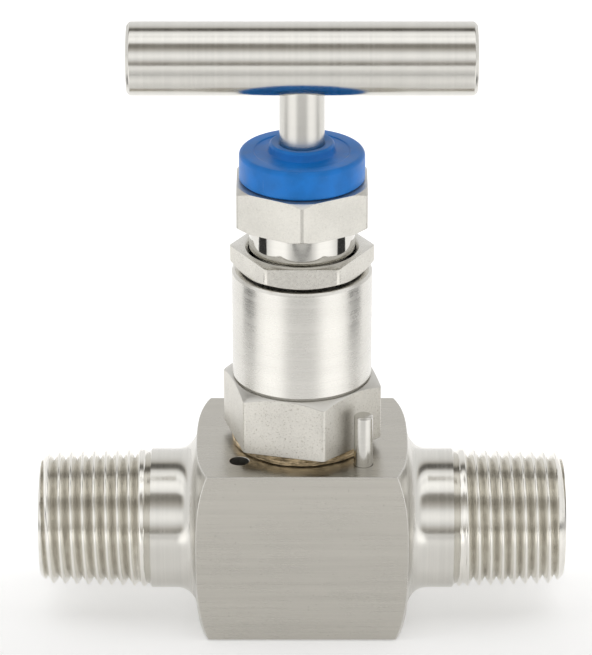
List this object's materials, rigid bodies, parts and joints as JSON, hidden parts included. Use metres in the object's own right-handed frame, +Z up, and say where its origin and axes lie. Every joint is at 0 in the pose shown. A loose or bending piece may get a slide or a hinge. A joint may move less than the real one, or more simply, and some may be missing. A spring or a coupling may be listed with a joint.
{
  "type": "needle valve",
  "caption": "Bar-stock needle valve with two male taper-threaded pipe ends, a hexagonal screwed bonnet, an adjustable gland with a lock nut, a dust cap and a T-bar handle.",
  "frame": {"origin": "middle of the square body's bottom face, directly under the stem", "axes": "+X along the pipe axis towards the outlet end, +Y towards the back, away from the picture's side, +Z up along the stem towards the T-bar"},
  "size_m": [0.082, 0.0284, 0.0966],
  "materials": {
    "body_steel": "satin bar stock brushed along the pipe axis, with polished turned ends",
    "bonnet_steel": "fine blasted hex with a turned satin cylinder",
    "gland_steel": "satin hex with bright chamfers and a polished neck",
    "stem_steel": "fine circumferential brushing",
    "handle_steel": "fine-grained satin turned bar",
    "hardened_steel": "ground and polished",
    "gasket_copper": "dull brown metal with a darkened edge",
    "cap_blue": "satin moulded blue plastic",
    "packing_white": "smooth waxy white",
    "wiper_rubber": "matt black"
  },
  "bodies": {
    "valve": {"valve_body": "body_steel", "bonnet_lock_pin": "hardened_steel", "bonnet_gasket": "gasket_copper", "bonnet": "bonnet_steel", "packing_washer": "gland_steel", "packing_bottom_adapter": "packing_white", "packing_ring_1": "packing_white", "packing_ring_2": "packing_white", "packing_ring_3": "packing_white", "packing_top_adapter": "packing_white", "gland_bush": "gland_steel"},
    "lock_nut": {"gland_lock_nut": "gland_steel"},
    "gland_cap": {"dust_cap": "cap_blue", "wiper_o_ring": "wiper_rubber"},
    "gland": {"gland_adjuster": "gland_steel"},
    "needle": {"needle_tip": "hardened_steel", "thrust_ball": "hardened_steel"},
    "stem": {"spindle": "stem_steel", "t_bar_handle": "handle_steel", "handle_grub_screw": "handle_steel"}
  },
  "joints": [
    {"name": "needle_lift", "type": "slide", "parent": "valve", "child": "needle", "axis": [0, 0, 1], "range_m": [0, 0.0045]},
    {"name": "spindle_turn", "type": "hinge", "parent": "needle", "child": "stem", "pos_m": [0, 0, 0.06], "axis": [0, 0, 1], "range_deg": [0, 1620]},
    {"name": "gland_travel", "type": "slide", "parent": "valve", "child": "gland_cap", "axis": [0, 0, 1], "range_m": [0, 0.0015]},
    {"name": "gland_turn", "type": "hinge", "parent": "gland_cap", "child": "gland", "pos_m": [0, 0, 0.06], "axis": [0, 0, 1], "range_deg": [0, 360]},
    {"name": "lock_nut_turn", "type": "hinge", "parent": "valve", "child": "lock_nut", "pos_m": [0, 0, 0.059], "axis": [0, 0, 1], "range_deg": [0, 90]}
  ],
  "couplings": [
    {"joint": "needle_lift", "follows": "spindle_turn", "m_per_rad": 0.00015915},
    {"joint": "gland_turn", "follows": "gland_travel", "rad_per_m": 4188.8}
  ]
}
